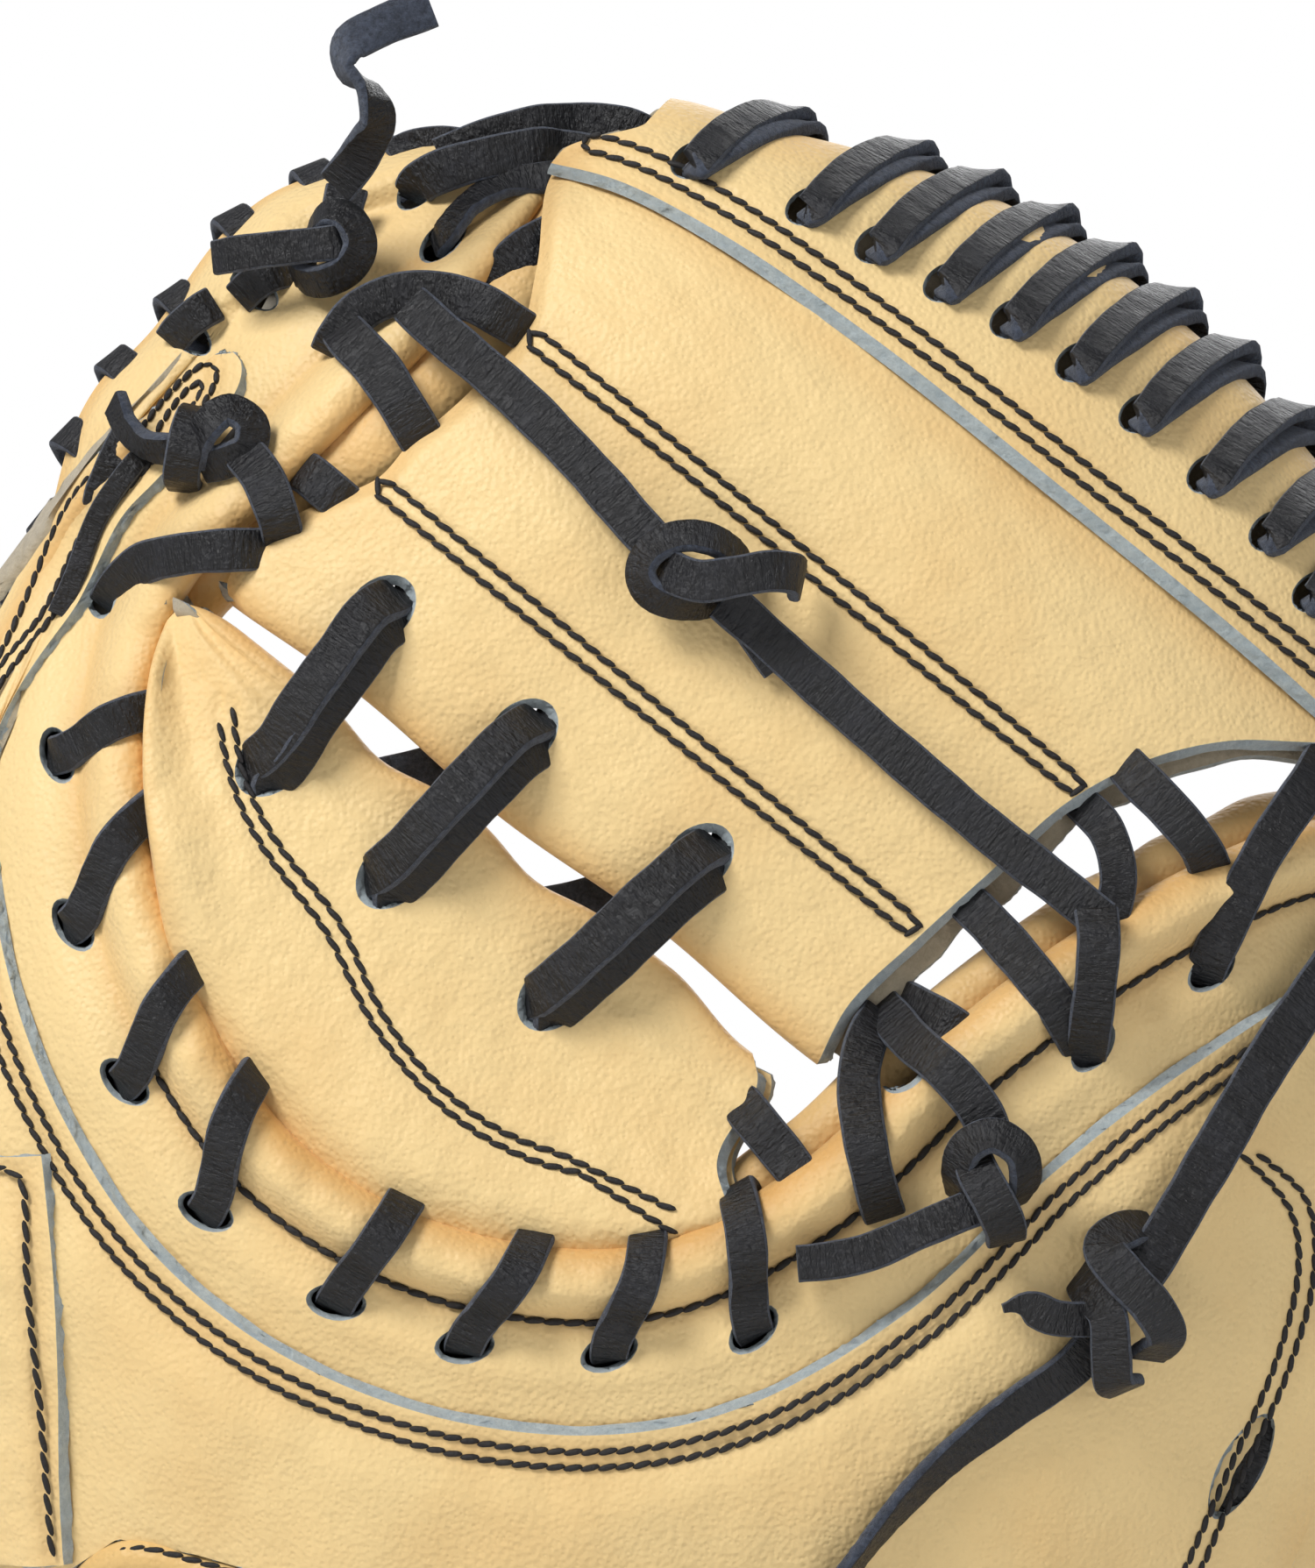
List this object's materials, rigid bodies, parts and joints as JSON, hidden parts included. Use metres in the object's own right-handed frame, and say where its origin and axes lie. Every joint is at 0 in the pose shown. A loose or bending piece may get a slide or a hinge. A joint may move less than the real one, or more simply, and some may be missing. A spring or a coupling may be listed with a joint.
{
  "type": "baseball catchers mitt",
  "caption": "Laced leather catcher's mitt for the left hand, with a padded rim, a two-piece web and an adjustable wrist strap.",
  "frame": {"origin": "middle of the overall width and depth, on the face that the heel rests on", "axes": "+Z from the heel to the fingertips, +Y from the back of the hand to the pocket, +X to the thumb side"},
  "size_m": [0.2694, 0.109, 0.3013],
  "materials": {
    "leather": "satin grain, blond",
    "binding": "satin grain, tan",
    "lining": "matt suede",
    "lace": "satin rawhide, black",
    "felt": "matt wool felt",
    "fleece": "matt fleece",
    "ring": "satin black"
  },
  "bodies": {
    "finger_side": {"back_leather_finger_part": "leather", "back_overlay_finger_part": "leather", "palm_leather_finger_part": "leather", "felt_pad_finger_part": "felt", "web_main_panel_finger_part": "leather", "web_inner_panel_finger_part": "leather", "web_top_band_finger_part": "leather", "hand_lining_finger_part": "lining", "crotch_roll_finger_part": "leather", "pocket_roll_finger_part": "leather", "opening_binding_finger_part": "binding", "crotch_lace_finger_part": "lace", "rim_lace_finger_part": "lace", "web_top_lace_finger_part": "lace", "web_tie_lace_finger_part": "lace", "half_moon_panel": "leather", "index_finger_pad": "leather", "web_lace_finger_end": "lace", "web_joining_lace": "lace", "web_tie_lace_middle": "lace", "web_tie_knot": "lace", "finger_knot_upper": "lace", "finger_knot_lower": "lace", "wrist_strap_finger_side": "leather", "wrist_fleece_finger_side": "fleece", "strap_ring": "ring", "little_finger_loop": "lace"},
    "thumb_side": {"back_leather_thumb_part": "leather", "back_overlay_thumb_part": "leather", "palm_leather_thumb_part": "leather", "felt_pad_thumb_part": "felt", "web_main_panel_thumb_part": "leather", "web_inner_panel_thumb_part": "leather", "web_top_band_thumb_part": "leather", "hand_lining_thumb_part": "lining", "crotch_roll_thumb_part": "leather", "pocket_roll_thumb_part": "leather", "opening_binding_thumb_part": "binding", "crotch_lace_thumb_part": "lace", "rim_lace_thumb_part": "lace", "web_top_lace_thumb_part": "lace", "web_tie_lace_thumb_part": "lace", "web_lace_thumb_end": "lace", "long_thumb_lace": "lace", "long_thumb_lace_tail": "lace", "thumb_knot_upper": "lace", "thumb_knot_lower": "lace", "wrist_strap_thumb_side": "leather", "wrist_fleece_thumb_side": "fleece", "thumb_loop": "lace"},
    "wrist_tab": {"wrist_tab": "leather"},
    "loose_tail": {"loose_lace_tail": "lace"}
  },
  "joints": [
    {"name": "mitt_close", "type": "hinge", "parent": "finger_side", "child": "thumb_side", "pos_m": [-0.0035, -0.02, 0], "axis": [0.2622, 0, 0.965], "range_deg": [0, 28]},
    {"name": "wrist_tab_lift", "type": "hinge", "parent": "finger_side", "child": "wrist_tab", "pos_m": [-0.0145, -0.0375, 0.013], "axis": [0, 0, 1], "range_deg": [0, 100]},
    {"name": "loose_tail_swing", "type": "hinge", "parent": "finger_side", "child": "loose_tail", "pos_m": [-0.0455, -0.027, 0.275], "axis": [0, 1, 0], "range_deg": [-20, 25]}
  ]
}
